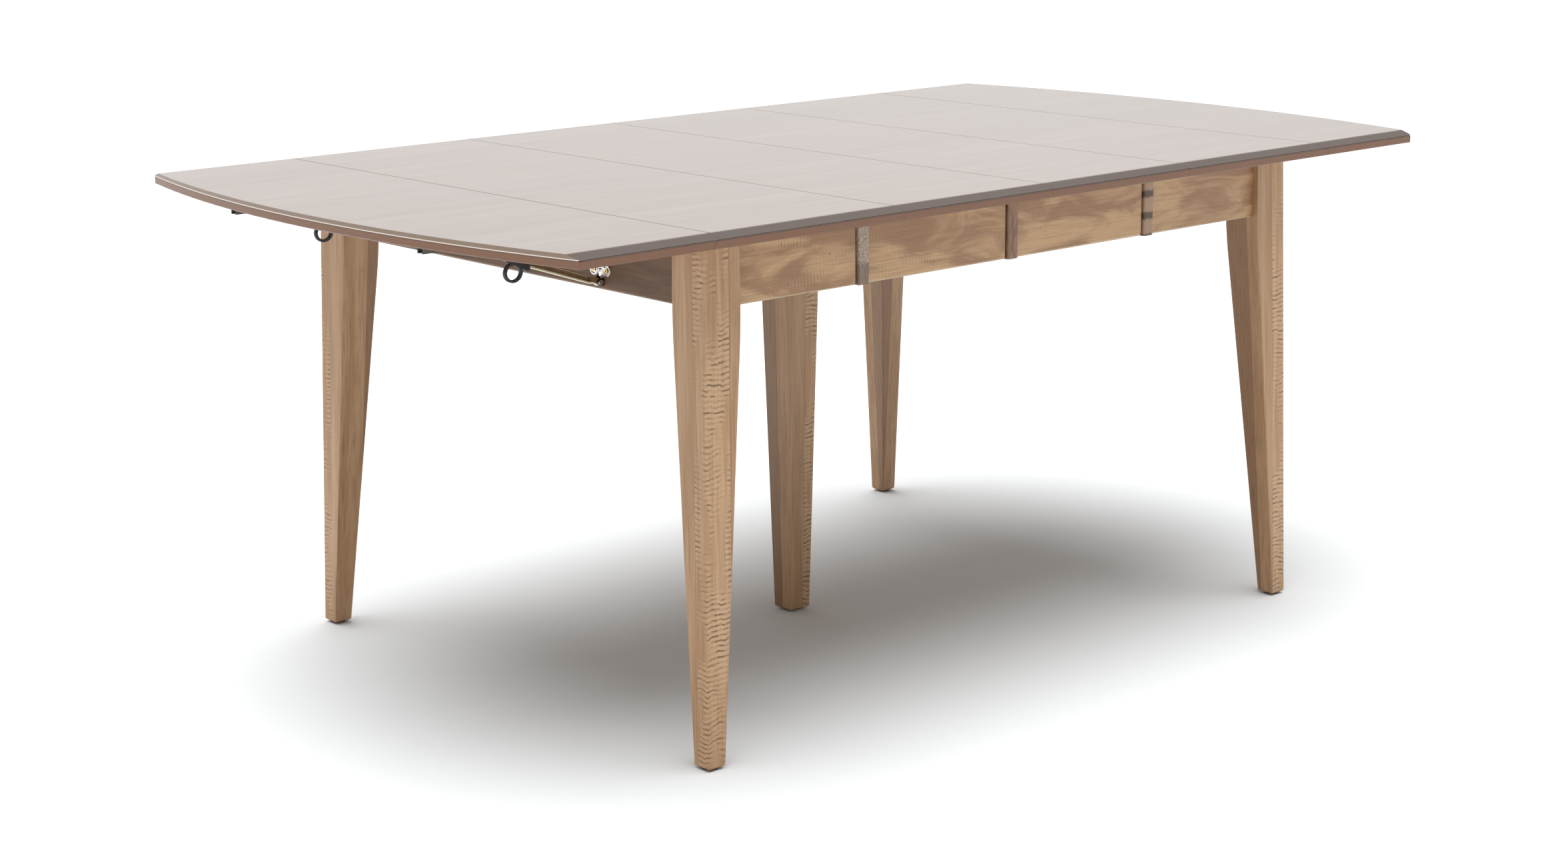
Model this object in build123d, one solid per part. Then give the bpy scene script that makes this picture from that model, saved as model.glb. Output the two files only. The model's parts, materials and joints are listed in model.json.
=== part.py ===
from build123d import *
import math
import os

os.makedirs("parts", exist_ok=True)

# Drop-leaf extension table. X runs along the length, Y across, Z up, floor at z = 0.
# Pieces are worked out for the +X half and mirrored for the other one.

# --- Overall sizes ---
table_height = 762.0
table_width = 1066.8
leaf_panel_width = 304.8        # one extension leaf
fixed_top_length = 336.0        # fixed top, from the extension seam to the rule joint
drop_leaf_length = 299.0        # rule joint to the middle of the bowed end
end_bow = 66.0                  # how far the end stands out between its corners

# --- Top ---
top_thickness = 19.0
corner_radius = 4.0
bevel_width = 25.0
bevel_drop = 6.0
arris_radius = 1.4
lower_edge_radius = 2.0
seam_gap = 0.3
rule_lip = 6.5                  # square shoulder above the quarter round
hinge_rise = 1.5                # hinge axis above the underside
rule_gap = 0.5

# --- Frame ---
apron_height = 98.0
apron_thickness = 20.0
apron_chamfer = 4.0
apron_recess = 9.0
leg_top_size = 65.0
leg_foot_size = 31.0
leg_setback = 23.0              # rule joint to the leg's outer face, at the leg's top
leg_side_overhang = 64.4        # top's edge to the leg's outer face, at the leg's top
leg_splay = 18.0                # how much farther out the leg's outer faces stand at the floor
leg_taper_start = 112.0         # below the top panel's underside
leg_blend = 55.0
leg_arris = 1.5
centre_leg_top_size = 70.0
centre_leg_foot_size = 41.0
centre_blend_share = 0.75       # share of the straight part under the block that the blend takes
centre_x = -28.0                # where the centre leg and its bars stand along the table
centre_leg_y = 15.0             # where the centre leg stands along its cross block
tenon_thickness = 8.0
tenon_length = 16.0
tenon_shoulder = 14.0
glide_radius = 11.0
glide_height = 3.0
foot_chamfer = 3.0
seam_block_width = 21.0
seam_block_depth = 30.0
seam_block_proud = 4.0
seam_block_round = 3.0
seam_block_reveal = 3.5
corner_block_size = 46.0
bolt_radius = 4.0
bolt_length = 62.0
nut_radius = 7.5
nut_height = 6.5
nut_stand_off = 4.0

# --- Extension slides ---
slide_offset = 150.0
slide_height = 43.0
slide_bar_thickness = 18.0
centre_bar_thickness = 22.0
centre_bar_half_length = 330.0
slide_end_gap = 6.0
slide_overlap = 455.0           # reach of a half's bar past its extension seam
slide_clearance = 0.4
tongue_depth = 6.0
tongue_height = 12.0
centre_block_thickness = 30.0
centre_block_length = 90.0
centre_block_overhang = 6.0

# --- Drop-leaf hinges ---
hinge_stations = (-350.0, 0.0, 350.0)
hinge_length = 50.0
hinge_plate_thickness = 2.0
hinge_fixed_plate = 64.0
hinge_leaf_plate = 62.0
knuckle_radius = 3.0
hinge_pin_radius = 1.5
hinge_running_fit = 0.05
hinge_side_gap = 0.4
knuckle_room = 1.3

# --- Screws ---
wood_screw_radius = 1.8
wood_screw_head_radius = 3.5
wood_screw_length = 13.0
slide_screw_inset = 30.0
centre_screw_grip = 12.0
bracket_screw_radius = 2.0
bracket_screw_head_radius = 4.3
bracket_screw_head_height = 2.2
bracket_screw_head_round = 1.5
bracket_screw_length = 14.0
screw_edge_margin = 3.0         # least plate between a screw's head and the plate's edge
bracket_slot_half_width = 0.6

# --- Leaf supports ---
support_offset = 236.0
bracket_screw_spacing = 28.0
bracket_lobe_radius = 9.0
bracket_plate_thickness = 1.6
bracket_screw_rise = 17.0       # screws above the strut's pivot
bracket_ear_thickness = 1.5
bracket_ear_radius = 5.0
bracket_stem_rise = 2.0         # bracket's stem starts this far above its ears
pivot_above_apron_edge = 12.0
pivot_stand_off = 6.3
pivot_pin_radius = 2.5
pivot_head_radius = 4.0
pivot_head_thickness = 1.5
strut_leaf_share = 0.95         # the strut grows by this share of the drop leaf's length
strut_allowance = 32.55         # and stays this much short of it when the leaf hangs
strut_width = 9.0
strut_height = 11.0
strut_wall = 1.5
strut_neck_length = 14.0
strut_neck_drop = 4.2
strut_clearance = 0.5
slider_pivot_depth = 33.0       # strut's upper pivot below the leaf's underside
stud_radius = 3.0
stud_stand_off = 0.2
cheek_thickness = 5.0
cheek_drop = 8.0
cheek_slope = 0.5
cheek_corner_radius = 4.0
cheek_inner_reach = 28.0
cheek_outer_reach = 24.0
ring_outer = (15.5, 14.0)
ring_inner = (11.0, 10.0)
ring_drop = 19.0
track_width = 14.0
track_height = 8.0
track_wall = 1.5
track_slot = 6.0
track_margin = 28.0
shoe_half_length = 24.0
shoe_clearance = 0.4
stem_half_length = 18.0

# --- Room that cutting shapes take beyond the pieces they cut ---
cutter_margin = 5.0
sweep_margin = 3.0              # degrees

# --- Places worked out from the sizes above ---
underside = table_height - top_thickness
half_width = table_width / 2
seam_x = leaf_panel_width
rule_x = seam_x + fixed_top_length
tip_x = rule_x + drop_leaf_length
corner_x = tip_x - end_bow
bow_radius = (half_width ** 2 + end_bow ** 2) / (2 * end_bow)
hinge_z = underside + hinge_rise
rule_radius = top_thickness - rule_lip - hinge_rise
leg_face_x = rule_x - leg_setback
leg_face_y = half_width - leg_side_overhang
leg_inner_x = leg_face_x - leg_top_size
leg_inner_y = leg_face_y - leg_top_size
apron_bottom = underside - apron_height
apron_face_x = leg_face_x - apron_recess
apron_face_y = leg_face_y - apron_recess
apron_back_x = apron_face_x - apron_thickness
apron_back_y = apron_face_y - apron_thickness
leg_notch = leg_top_size - apron_recess - apron_thickness
slide_bottom = underside - slide_height
centre_block_top = slide_bottom - slide_clearance
centre_leg_height = centre_block_top - centre_block_thickness
pivot_x = apron_face_x + pivot_stand_off
pivot_z = apron_bottom + pivot_above_apron_edge
slider_pivot_z = underside - slider_pivot_depth
strut_length = strut_leaf_share * drop_leaf_length - (hinge_z - pivot_z) - strut_allowance
strut_rest_angle = math.asin((slider_pivot_z - pivot_z) / strut_length)
slider_pivot_x = pivot_x + strut_length * math.cos(strut_rest_angle)
dropped_pivot_x = rule_x - hinge_rise - slider_pivot_depth
dropped_lean = math.asin((pivot_x - dropped_pivot_x) / strut_length)
slider_dropped_z = pivot_z - strut_length * math.cos(dropped_lean)
slider_travel = (hinge_z - slider_dropped_z) - (slider_pivot_x - rule_x)
strut_turn = strut_rest_angle + math.pi / 2 + dropped_lean
print("slider travel mm", round(slider_travel, 3), "strut turn deg", round(math.degrees(strut_turn), 3))
print("strut pivot", round(pivot_x, 3), round(pivot_z, 3), "hinge axis", round(rule_x, 3), round(hinge_z, 3))
print("slider pivot", round(slider_pivot_x, 3), round(slider_pivot_z, 3))


# --- Helpers ---
def block(x0, x1, y0, y1, z0, z1):
    return Pos((x0 + x1) / 2, (y0 + y1) / 2, (z0 + z1) / 2) * Box(x1 - x0, y1 - y0, z1 - z0)


def prism_y(points, y0, y1):
    face = Face(Wire.make_polygon([(x, y0, z) for x, z in points]))
    return extrude(face, amount=y1 - y0, dir=(0, 1, 0))


def rod_x(x0, x1, y, z, radius):
    return Pos((x0 + x1) / 2, y, z) * Rot(0, 90, 0) * Cylinder(radius, x1 - x0)


def rod_y(x, y0, y1, z, radius):
    return Pos(x, (y0 + y1) / 2, z) * Rot(90, 0, 0) * Cylinder(radius, y1 - y0)


def rod_z(x, y, z0, z1, radius):
    return Pos(x, y, (z0 + z1) / 2) * Cylinder(radius, z1 - z0)


def mirrored(shape):
    return mirror(shape, about=Plane.YZ)


def front(shape):
    return mirror(shape, about=Plane.XZ)


def solids_of(shapes):
    found = []
    for shape in shapes:
        found.extend(shape.solids())
    return found


def save(name, *shapes):
    solids = solids_of(shapes)
    export_step(solids[0] if len(solids) == 1 else Compound(solids), f"parts/{name}.step")


def countersunk_screw(x, y, z, length):
    """Wood screw driven upwards, its head flush with z."""
    head_height = wood_screw_head_radius - wood_screw_radius
    head = Pos(x, y, z + head_height / 2) * Cone(wood_screw_head_radius, wood_screw_radius, head_height)
    return head + rod_z(x, y, z, z + length, wood_screw_radius)


# --- Top panels ---
def edge_cutters():
    """Profiles outside the finished edge: bevel with a small round, and the eased lower edge."""
    slope = math.atan2(bevel_drop, bevel_width)
    arris_z = table_height - bevel_drop
    tangent = arris_radius * math.tan((math.pi / 2 - slope) / 2)
    on_edge = (0.0, arris_z - tangent)
    on_bevel = (tangent * math.cos(slope), arris_z + tangent * math.sin(slope))
    middle = (math.pi - slope) / 2 + slope
    centre = (arris_radius, arris_z - tangent)
    on_arc = (centre[0] + arris_radius * math.cos(middle), centre[1] + arris_radius * math.sin(middle))
    above = table_height + cutter_margin
    outer = -cutter_margin
    upper = [(outer, on_edge[1]), on_edge, on_arc, on_bevel, (bevel_width, table_height),
             (bevel_width, above), (outer, above)]
    low_arc = lower_edge_radius * (1 - math.sqrt(0.5))
    lower = [(outer, underside + lower_edge_radius), (0.0, underside + lower_edge_radius),
             (low_arc, underside + low_arc), (lower_edge_radius, underside),
             (lower_edge_radius, underside - cutter_margin), (outer, underside - cutter_margin)]
    return upper, lower


def profile_face(points, place):
    """Closed outline whose second to fourth points are the start, middle and end of an arc."""
    p = [place(u, z) for u, z in points]
    edges = [Edge.make_line(p[0], p[1]), Edge.make_three_point_arc(p[1], p[2], p[3])]
    edges += [Edge.make_line(p[i], p[i + 1]) for i in range(3, len(p) - 1)]
    edges.append(Edge.make_line(p[-1], p[0]))
    return Face(Wire(edges))


def whole_top():
    corners = [(corner_x, -half_width), (corner_x, half_width),
               (-corner_x, half_width), (-corner_x, -half_width)]
    p = [Vector(x, y, underside) for x, y in corners]
    outline = Wire([
        Edge.make_three_point_arc(p[0], Vector(tip_x, 0, underside), p[1]),
        Edge.make_line(p[1], p[2]),
        Edge.make_three_point_arc(p[2], Vector(-tip_x, 0, underside), p[3]),
        Edge.make_line(p[3], p[0]),
    ])
    slab = extrude(Face(outline), amount=top_thickness, dir=(0, 0, 1))
    slab = fillet(slab.edges().filter_by(Axis.Z), corner_radius)
    sweep_angle = math.degrees(math.asin(half_width / bow_radius)) + sweep_margin
    bow_axis = Axis((tip_x - bow_radius, 0, 0), (0, 0, 1))
    reach = tip_x + cutter_margin
    for profile in edge_cutters():
        side = profile_face(profile, lambda u, z: Vector(-reach, -half_width + u, z))
        side_cut = extrude(side, amount=2 * reach, dir=(1, 0, 0))
        end = profile_face(profile, lambda u, z: Vector(tip_x - u, 0, z)).rotate(bow_axis, -sweep_angle)
        end_cut = revolve(end, axis=bow_axis, revolution_arc=2 * sweep_angle)
        slab = slab - side_cut - mirror(side_cut, about=Plane.XZ) - end_cut - mirrored(end_cut)
    return slab


def rule_face(radius, gap, far_x):
    """Cross-section bounded by the rule joint's quarter round, reaching to far_x."""
    y0 = -half_width - cutter_margin
    top = table_height + cutter_margin
    bottom = underside - cutter_margin
    lift = math.sqrt(radius ** 2 - gap ** 2)
    bend = math.pi / 4
    points = [Vector(rule_x + gap, y0, top), Vector(rule_x + gap, y0, hinge_z + lift),
              Vector(rule_x + radius, y0, hinge_z), Vector(rule_x + radius, y0, bottom)]
    on_arc = Vector(rule_x + radius * math.cos(bend), y0, hinge_z + radius * math.sin(bend))
    edges = [Edge.make_line(points[0], points[1]), Edge.make_three_point_arc(points[1], on_arc, points[2]),
             Edge.make_line(points[2], points[3]),
             Edge.make_line(points[3], Vector(far_x, y0, bottom)),
             Edge.make_line(Vector(far_x, y0, bottom), Vector(far_x, y0, top)),
             Edge.make_line(Vector(far_x, y0, top), points[0])]
    return Face(Wire(edges))


def across(face):
    return extrude(face, amount=table_width + 2 * cutter_margin, dir=(0, 1, 0))


# --- Legs ---
def leg_outline(outer, width_top, width_foot, height, taper_start, splay):
    """Side view of a leg: its outer side leans out by splay, its inner side is upright and then tapers in."""
    start_z = height - taper_start
    slope = (width_top - width_foot + splay) / start_z
    inner = outer - width_top
    return [(outer + splay, 0), (outer, height), (inner, height), (inner, start_z + leg_blend),
            (inner, start_z), (inner + slope * leg_blend, start_z - leg_blend),
            (outer + splay - width_foot, 0)]


def blended_face(points, place):
    """Face from a leg outline; the fifth point is the corner that the blend rounds off."""
    p = [place(a, z) for a, z in points]
    return Face(Wire([
        Edge.make_line(p[0], p[1]), Edge.make_line(p[1], p[2]), Edge.make_line(p[2], p[3]),
        Edge.make_bezier(p[3], p[4], p[5]), Edge.make_line(p[5], p[6]), Edge.make_line(p[6], p[0]),
    ]))


def finished_leg(leg):
    leg = chamfer(leg.edges().group_by(Axis.Z)[0], foot_chamfer)
    least_rise = 2 * foot_chamfer
    upright = leg.edges().filter_by(lambda e: abs((e.position_at(1) - e.position_at(0)).Z) > least_rise)
    return Pos(0, 0, glide_height) * fillet(upright, leg_arris)


def corner_leg():
    height = underside - glide_height
    sizes = (leg_top_size, leg_foot_size, height, leg_taper_start, leg_splay)
    reach = 2 * leg_top_size
    x_view = blended_face(leg_outline(leg_face_x, *sizes), lambda a, z: Vector(a, leg_face_y - reach, z))
    y_view = blended_face(leg_outline(leg_face_y, *sizes), lambda a, z: Vector(leg_face_x - reach, a, z))
    across_y = extrude(x_view, amount=2 * reach, dir=(0, 1, 0))
    across_x = extrude(y_view, amount=2 * reach, dir=(1, 0, 0))
    return finished_leg(across_y & across_x)


def centre_leg():
    height = centre_leg_height - glide_height
    taper_start = leg_taper_start - (underside - centre_leg_height)
    reach = centre_leg_top_size
    half_top, half_foot = centre_leg_top_size / 2, centre_leg_foot_size / 2
    start_z = height - taper_start
    blend = centre_blend_share * taper_start
    lean = (half_top - half_foot) / start_z * blend
    outline = [(half_foot, 0), (half_top - lean, start_z - blend), (half_top, start_z),
               (half_top, start_z + blend), (half_top, height)]
    views = []
    for place, direction in ((lambda a, z: Vector(a, -reach, z), (0, 1, 0)),
                             (lambda a, z: Vector(-reach, a, z), (1, 0, 0))):
        r = [place(a, z) for a, z in outline]
        l = [place(-a, z) for a, z in outline]
        face = Face(Wire([
            Edge.make_line(r[0], r[1]), Edge.make_bezier(r[1], r[2], r[3]), Edge.make_line(r[3], r[4]),
            Edge.make_line(r[4], l[4]), Edge.make_line(l[4], l[3]), Edge.make_bezier(l[3], l[2], l[1]),
            Edge.make_line(l[1], l[0]), Edge.make_line(l[0], r[0]),
        ]))
        views.append(extrude(face, amount=2 * reach, dir=direction))
    return Pos(centre_x, centre_leg_y, 0) * finished_leg(views[0] & views[1])


def glide(x, y):
    return rod_z(x, y, 0, glide_height, glide_radius)


# --- Aprons ---
def end_apron():
    bar = block(apron_back_x, apron_face_x, -leg_inner_y, leg_inner_y, apron_bottom, underside)
    lower_edge = bar.edges().filter_by(Axis.Y).group_by(Axis.Z)[0].sort_by(Axis.X)[-1]
    bar = chamfer(lower_edge, apron_chamfer)
    for tenon in end_tenons():
        bar = bar + tenon
    return bar


def side_apron(x0, x1):
    bar = block(x0, x1, apron_back_y, apron_face_y, apron_bottom, underside)
    lower_edge = bar.edges().filter_by(Axis.X).group_by(Axis.Z)[0].sort_by(Axis.Y)[-1]
    return chamfer(lower_edge, apron_chamfer)


def end_tenons():
    middle = (apron_back_x + apron_face_x) / 2
    tenon = block(middle - tenon_thickness / 2, middle + tenon_thickness / 2, leg_inner_y,
                  leg_inner_y + tenon_length, apron_bottom + tenon_shoulder, underside - tenon_shoulder)
    return [tenon, front(tenon)]


def side_tenon():
    middle = (apron_back_y + apron_face_y) / 2
    start = leg_inner_x
    return block(start, start + tenon_length, middle - tenon_thickness / 2, middle + tenon_thickness / 2,
                 apron_bottom + tenon_shoulder, underside - tenon_shoulder)


def seam_block(x1):
    """Upright block at the right-hand edge of a panel, its face rounded and slightly proud."""
    outer = apron_face_y + seam_block_proud
    bar = block(x1 - seam_block_width, x1, outer - seam_block_depth, outer, apron_bottom, underside)
    return fillet(bar.edges().filter_by(Axis.Z).group_by(Axis.Y)[-1], seam_block_round)


# --- Corner blocks and bolts ---
def corner_block():
    """Diagonal block behind a leg; its faces are the leg's two inner faces and both aprons' backs."""
    size = leg_notch + corner_block_size
    points = [(apron_back_x, leg_inner_y - size), (apron_back_x, leg_inner_y), (leg_inner_x, leg_inner_y),
              (leg_inner_x, apron_back_y), (leg_inner_x - size, apron_back_y)]
    face = Face(Wire.make_polygon([(x, y, apron_bottom + tenon_shoulder) for x, y in points]))
    return extrude(face, amount=apron_height - 2 * tenon_shoulder, dir=(0, 0, 1))


def hanger_bolt():
    """Bolt on the corner's diagonal, screwed into the leg, with its nut on the block's long face."""
    block_depth = corner_block_size / math.sqrt(2)
    reach = (block_depth + nut_height + nut_stand_off) / math.sqrt(2)
    start = Vector(leg_inner_x - reach, leg_inner_y - reach, (apron_bottom + underside) / 2)
    turn = Rot(0, 0, 45) * Rot(0, 90, 0)
    shaft = Pos(*start) * turn * Pos(0, 0, bolt_length / 2) * Cylinder(bolt_radius, bolt_length)
    nut = extrude(RegularPolygon(nut_radius, 6), amount=nut_height)
    nut = Pos(*start) * turn * Pos(0, 0, nut_stand_off) * nut
    return shaft, nut - shaft


# --- Extension slides ---
def slide_bar(direction):
    """Bar of the +X half beside the back centre bar; direction is 1 outside it and -1 inside it."""
    near = slide_offset + direction * (centre_bar_thickness / 2 + slide_clearance)
    far = near + direction * slide_bar_thickness
    tip = near - direction * tongue_depth
    x0, x1 = seam_x - slide_overlap, apron_back_x - slide_end_gap
    middle = (slide_bottom + underside) / 2
    half_tongue = tongue_height / 2 - slide_clearance
    bar = block(x0, x1, min(near, far), max(near, far), slide_bottom, underside)
    return bar + block(x0, x1, min(near, tip), max(near, tip), middle - half_tongue, middle + half_tongue)


def slide_screws(direction):
    y = slide_offset + direction * (centre_bar_thickness / 2 + slide_clearance + slide_bar_thickness / 2)
    first, last = seam_x + slide_screw_inset, apron_back_x - slide_end_gap - slide_screw_inset
    length = slide_height + wood_screw_length
    return [countersunk_screw(x, y, slide_bottom, length) for x in (first, (first + last) / 2, last)]


def centre_bar():
    half = centre_bar_thickness / 2
    middle = (slide_bottom + underside) / 2
    x0, x1 = centre_x - centre_bar_half_length, centre_x + centre_bar_half_length
    bar = block(x0, x1, slide_offset - half, slide_offset + half, centre_block_top,
                underside - slide_clearance)
    for direction in (-1, 1):
        edge, floor = slide_offset + direction * half, slide_offset + direction * (half - tongue_depth)
        bar = bar - block(x0, x1, min(edge, floor), max(edge, floor), middle - tongue_height / 2,
                          middle + tongue_height / 2)
    return bar


def centre_block():
    half_y = slide_offset + centre_bar_thickness / 2 + centre_block_overhang
    half_x = centre_block_length / 2
    return block(centre_x - half_x, centre_x + half_x, -half_y, half_y, centre_leg_height, centre_block_top)


def centre_bolt():
    """Bolt standing in the centre leg's top, its nut on the cross block."""
    start = centre_leg_height - bolt_length / 2
    end = centre_block_top + nut_height + nut_stand_off
    shaft = rod_z(centre_x, centre_leg_y, start, end, bolt_radius)
    nut = Pos(centre_x, centre_leg_y, centre_block_top) * extrude(RegularPolygon(nut_radius, 6), amount=nut_height)
    return shaft, nut - shaft


def centre_screws():
    inset = centre_block_length / 4
    length = centre_block_thickness + centre_screw_grip
    return [countersunk_screw(x, y, centre_leg_height, length)
            for x in (centre_x - inset, centre_x + inset) for y in (-slide_offset, slide_offset)]


# --- Drop-leaf hinges ---
def hinge_parts(y0):
    """Fixed plate, leaf plate and pin of one hinge at the rule joint."""
    half = hinge_length / 2
    third = hinge_length / 6
    gap = hinge_side_gap / 2
    clear = knuckle_radius + knuckle_room
    outer_spans = [(y0 - half, y0 - third - gap), (y0 + third + gap, y0 + half)]
    middle_span = (y0 - third + gap, y0 + third - gap)
    plate_top = underside + hinge_plate_thickness
    plate_bottom = underside - hinge_plate_thickness
    fixed = block(rule_x - hinge_fixed_plate, rule_x - clear, y0 - half, y0 + half, underside, plate_top)
    for a, b in outer_spans:
        fixed = fixed + block(rule_x - clear, rule_x, a, b, underside, plate_top)
        fixed = fixed + rod_y(rule_x, a, b, hinge_z, knuckle_radius)
    fixed = fixed - rod_y(rule_x, y0 - half, y0 + half, hinge_z, hinge_pin_radius)
    a, b = middle_span
    leaf = block(rule_x + clear, rule_x + hinge_leaf_plate, y0 - half, y0 + half, plate_bottom, underside)
    leaf = leaf + block(rule_x, rule_x + clear, a, b, plate_bottom, underside)
    leaf = leaf + rod_y(rule_x, a, b, hinge_z, knuckle_radius)
    leaf = leaf - rod_y(rule_x, y0 - half, y0 + half, hinge_z, hinge_pin_radius + hinge_running_fit)
    return fixed, leaf, rod_y(rule_x, y0 - half, y0 + half, hinge_z, hinge_pin_radius)


def hinge_recess(y0):
    """What a fixed plate and its knuckle need cut out of the fixed top."""
    half = hinge_length / 2
    clear = knuckle_radius + knuckle_room
    plate = block(rule_x - hinge_fixed_plate, rule_x, y0 - half, y0 + half, underside,
                  underside + hinge_plate_thickness)
    slot = block(rule_x - clear, rule_x + clear, y0 - half - hinge_side_gap, y0 + half + hinge_side_gap,
                 underside - cutter_margin, hinge_z + clear)
    return plate + slot


def hinge_screws(y0, fixed_side):
    quarter = hinge_length / 4
    if fixed_side:
        inside = rule_x - hinge_fixed_plate + wood_screw_head_radius + screw_edge_margin
        outside = (apron_face_x + rule_x - knuckle_radius - knuckle_room) / 2
        places, z, length = (inside, outside), underside, wood_screw_length
    else:
        first = rule_x + rule_radius + rule_gap + wood_screw_head_radius + 2 * screw_edge_margin
        last = rule_x + hinge_leaf_plate - wood_screw_head_radius - screw_edge_margin
        places, z = (first, last), underside - hinge_plate_thickness
        length = wood_screw_length + hinge_plate_thickness
    return [countersunk_screw(x, y0 + dy, z, length) for x in places for dy in (-quarter, quarter)]


# --- Leaf supports ---
def bracket(y0):
    """Three-lobed plate on the end apron with two ears for the strut's pivot."""
    x0, x1 = apron_face_x, apron_face_x + bracket_plate_thickness
    screw_z = pivot_z + bracket_screw_rise
    half = bracket_screw_spacing / 2
    ear_inner = strut_width / 2 + strut_clearance
    ear_outer = ear_inner + bracket_ear_thickness
    waist = bracket_lobe_radius / 2
    plate = block(x0, x1, y0 - half, y0 + half, screw_z - waist, screw_z + waist)
    for dy in (-half, half):
        plate = plate + rod_x(x0, x1, y0 + dy, screw_z, bracket_lobe_radius)
    stem_z = pivot_z + bracket_ear_radius + bracket_stem_rise
    plate = plate + block(x0, x1, y0 - ear_outer, y0 + ear_outer, stem_z, screw_z)
    for sign in (-1, 1):
        a, b = sorted((y0 + sign * ear_inner, y0 + sign * ear_outer))
        plate = plate + rod_y(pivot_x, a, b, pivot_z, bracket_ear_radius)
        plate = plate + block(x0, pivot_x, a, b, pivot_z - bracket_ear_radius, pivot_z + bracket_ear_radius)
        plate = plate + prism_y([(x0, pivot_z + bracket_ear_radius), (pivot_x, pivot_z + bracket_ear_radius),
                                 (x1, screw_z), (x0, screw_z)], a, b)
    return plate - pivot_pin(y0)


def bracket_screw(y, z):
    head_end = apron_face_x + bracket_plate_thickness + bracket_screw_head_height
    head = rod_x(apron_face_x + bracket_plate_thickness, head_end, y, z, bracket_screw_head_radius)
    head = fillet(head.edges().sort_by(Axis.X)[-1], bracket_screw_head_round)
    slot = block(head_end - bracket_screw_head_height / 2, head_end + cutter_margin,
                 y - bracket_screw_head_radius, y + bracket_screw_head_radius,
                 z - bracket_slot_half_width, z + bracket_slot_half_width)
    shank = rod_x(apron_face_x - bracket_screw_length, apron_face_x + bracket_plate_thickness, y, z,
                  bracket_screw_radius)
    return head + shank - slot


def bracket_screws(y0):
    half = bracket_screw_spacing / 2
    return [bracket_screw(y0 + dy, pivot_z + bracket_screw_rise) for dy in (-half, half)]


def pivot_pin(y0):
    reach = strut_width / 2 + strut_clearance + bracket_ear_thickness
    pin = rod_y(pivot_x, y0 - reach, y0 + reach, pivot_z, pivot_pin_radius)
    for end in (y0 - reach - pivot_head_thickness, y0 + reach):
        pin = pin + rod_y(pivot_x, end, end + pivot_head_thickness, pivot_z, pivot_head_radius)
    return pin


def strut(y0):
    """Channel strut, open towards -Y, drawn along X from its lower pivot and then tilted into place."""
    half_w, half_h = strut_width / 2, strut_height / 2
    body = block(strut_neck_length, strut_length, -half_w, half_w, -half_h, half_h)
    body = body - block(strut_neck_length + strut_wall, strut_length, -half_w, half_w - strut_wall,
                        -half_h + strut_wall, half_h - strut_wall)
    body = body + block(0, strut_neck_length, -half_w, half_w, -strut_neck_drop, half_h)
    body = body + rod_y(0, -half_w, half_w, 0, bracket_ear_radius)
    body = body + rod_y(strut_length, half_w - strut_wall, half_w, 0, half_h)
    body = body + rod_y(strut_length, -half_w - stud_stand_off, half_w, 0, stud_radius)
    body = body - rod_y(0, -strut_width, strut_width, 0, pivot_pin_radius + hinge_running_fit)
    return Pos(pivot_x, y0, pivot_z) * Rot(0, -math.degrees(strut_rest_angle), 0) * body


def track_centre(y0):
    return y0 - strut_width / 2 - strut_clearance - track_width / 2


def slider(y0):
    """Shoe in the track, a flat cheek beside the strut's end, and the finger ring below it."""
    yc = track_centre(y0)
    half = cheek_thickness / 2
    top = underside - track_height - shoe_clearance
    x, z = slider_pivot_x, slider_pivot_z
    lower_edge = [(x - cheek_inner_reach, z - cheek_drop - cheek_inner_reach * cheek_slope),
                  (x + cheek_outer_reach, z - cheek_drop + cheek_outer_reach * cheek_slope)]
    cheek = prism_y(lower_edge + [(x + cheek_outer_reach, top), (x - cheek_inner_reach, top)],
                    yc - half, yc + half)
    corners = cheek.edges().filter_by(Axis.Y).group_by(Axis.Z)[0]
    cheek = fillet(corners, cheek_corner_radius)
    ring_plane = Plane(origin=(x, yc, z - ring_drop), x_dir=(1, 0, 0), z_dir=(0, -1, 0))
    ring = ring_plane * (Ellipse(*ring_outer) - Ellipse(*ring_inner))
    ring = extrude(ring, amount=half, both=True)
    shoe_half_width = track_width / 2 - track_wall - shoe_clearance
    shoe_bottom = underside - track_height + track_wall + shoe_clearance
    shoe = block(x - shoe_half_length, x + shoe_half_length, yc - shoe_half_width, yc + shoe_half_width,
                 shoe_bottom, underside - track_wall - shoe_clearance)
    stem = block(x - stem_half_length, x + stem_half_length, yc - half, yc + half, top, shoe_bottom)
    boss_front = y0 - strut_width / 2 - stud_stand_off - strut_clearance
    boss = rod_y(x, yc + half, boss_front, z, bracket_ear_radius)
    return cheek + ring + shoe + stem + boss


def track_span():
    return slider_pivot_x - track_margin, slider_pivot_x + slider_travel + track_margin


def track(y0):
    x0, x1 = track_span()
    yc = track_centre(y0)
    half = track_width / 2
    bottom = underside - track_height
    rail = block(x0, x1, yc - half, yc + half, bottom, underside)
    rail = rail - block(x0, x1, yc - half + track_wall, yc + half - track_wall, bottom + track_wall,
                        underside - track_wall)
    return rail - block(x0, x1, yc - track_slot / 2, yc + track_slot / 2, bottom, bottom + track_wall)


def track_screws(y0):
    x0, x1 = track_span()
    inset = wood_screw_head_radius + screw_edge_margin
    length = wood_screw_length + track_wall
    return [countersunk_screw(x, track_centre(y0), underside - track_wall, length)
            for x in (x0 + inset, (x0 + x1) / 2, x1 - inset)]


# --- Putting the table together ---
def both(shape):
    return [front(shape), shape]


def cut(shape, tools):
    for tool in tools:
        shape = shape - tool
    return shape


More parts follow.
